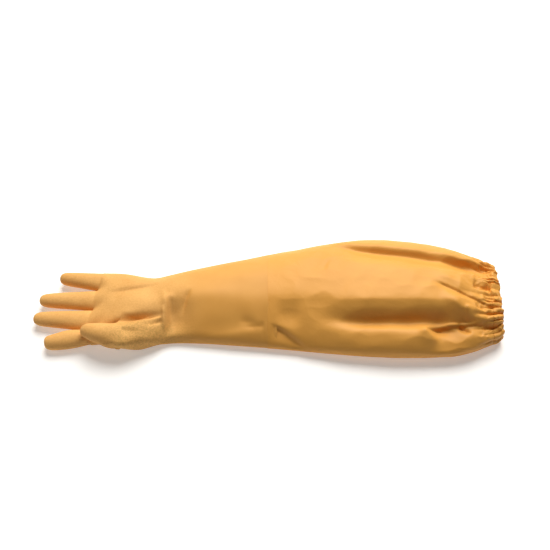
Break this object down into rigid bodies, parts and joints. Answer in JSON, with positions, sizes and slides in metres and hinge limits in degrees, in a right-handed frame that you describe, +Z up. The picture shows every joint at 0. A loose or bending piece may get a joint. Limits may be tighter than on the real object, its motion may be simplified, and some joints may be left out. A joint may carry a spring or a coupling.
{
  "type": "rubber work glove",
  "caption": "Shoulder-length rubber work glove for the left hand, lying palm up, with a film sleeve over its gauntlet and a gathered elastic hem.",
  "frame": {"origin": "centre of the bounding box on the table that the glove lies on", "axes": "+X from the fingertips to the mouth of the sleeve, +Y towards the little finger's side, +Z up, out of the palm"},
  "size_m": [0.6504, 0.1926, 0.0621],
  "materials": {
    "glove_rubber": "matt, fine rough grip texture on the hand",
    "sleeve_film": "smooth satin film",
    "hem_film": "smooth satin film, gathered"
  },
  "bodies": {
    "root": {"hand_glove": "glove_rubber", "sleeve": "sleeve_film", "elastic_hem": "hem_film"}
  },
  "joints": []
}
